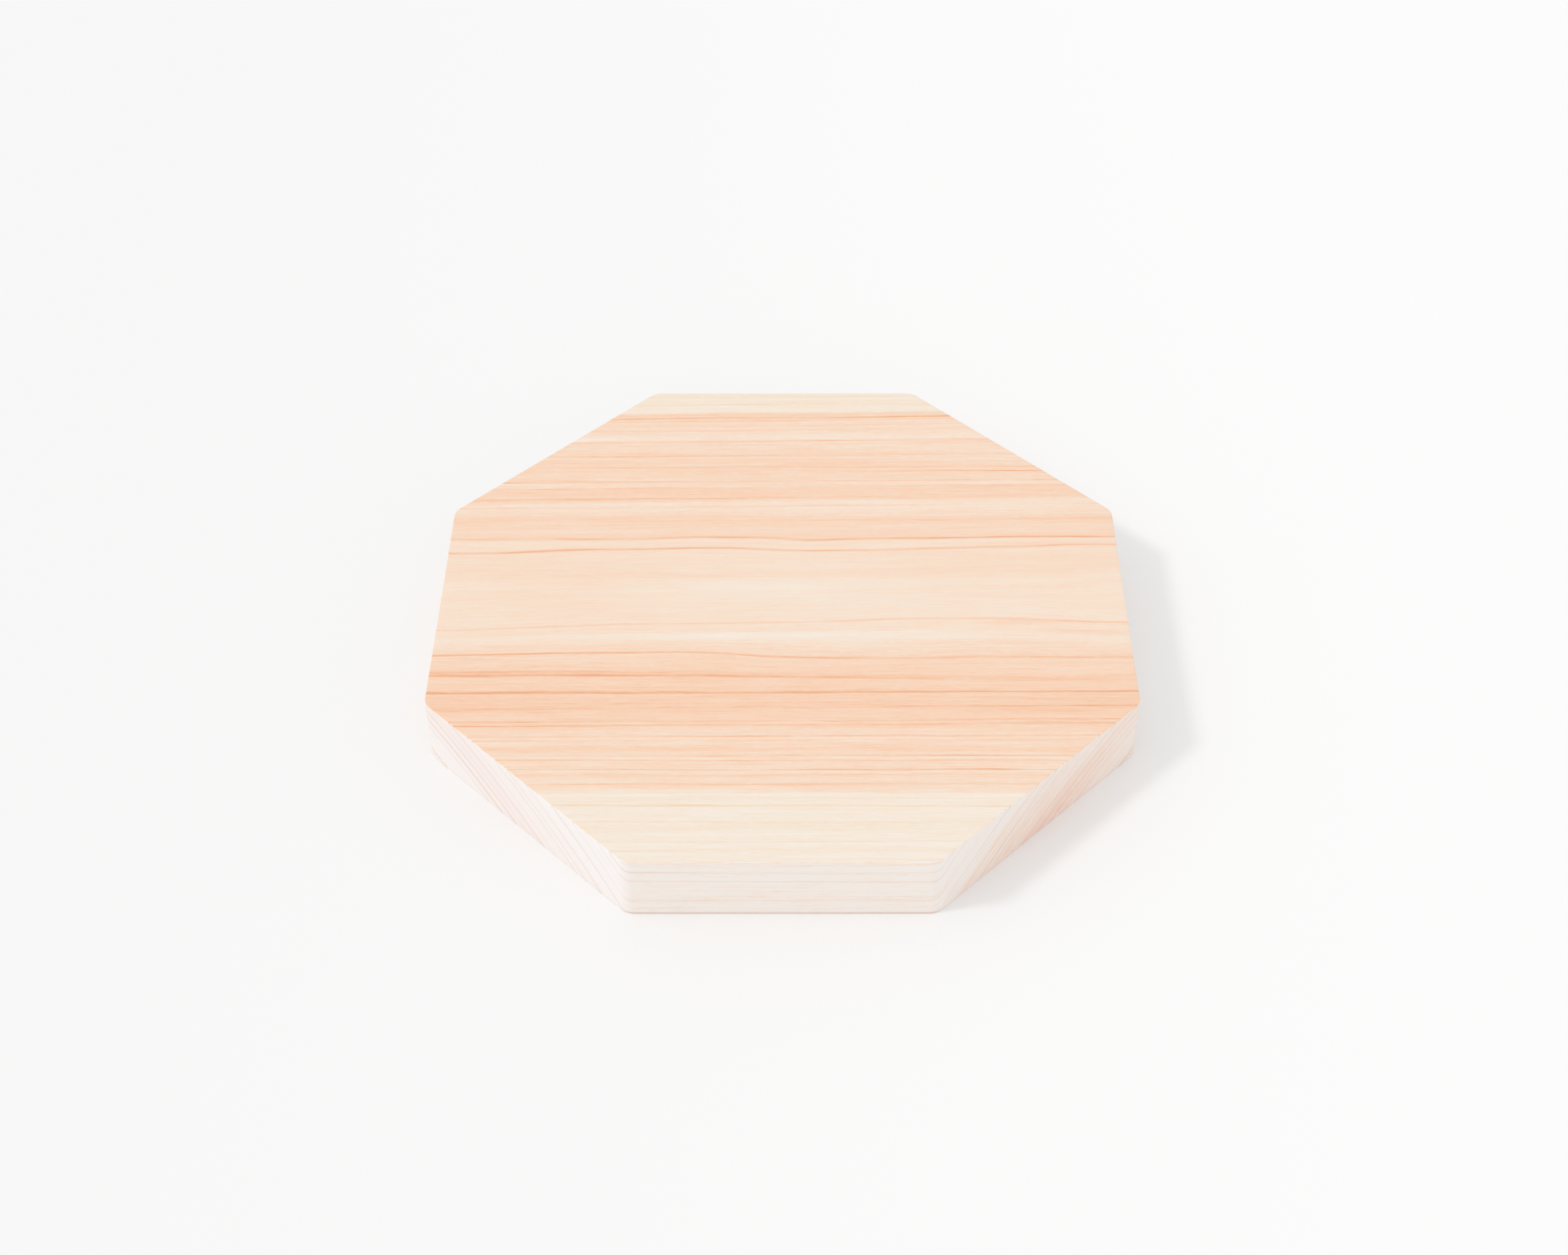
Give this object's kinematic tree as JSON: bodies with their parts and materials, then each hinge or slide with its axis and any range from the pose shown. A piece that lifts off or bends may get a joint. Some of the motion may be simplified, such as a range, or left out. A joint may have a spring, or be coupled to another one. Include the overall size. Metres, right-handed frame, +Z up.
{
  "type": "octagonal wooden board",
  "caption": "Thick octagonal board cut from one solid plank of pale wood, with rounded corners and eased rims, flat on both faces.",
  "frame": {"origin": "middle of the underside", "axes": "+Z up through the thickness, +X along the grain, -Y out of the front flat side; each of the eight sides is a flat"},
  "size_m": [0.29, 0.29, 0.03],
  "materials": {
    "wood": "bare planed softwood, matt, heartwood between two sapwood edges"
  },
  "bodies": {
    "root": {"board": "wood"}
  },
  "joints": []
}
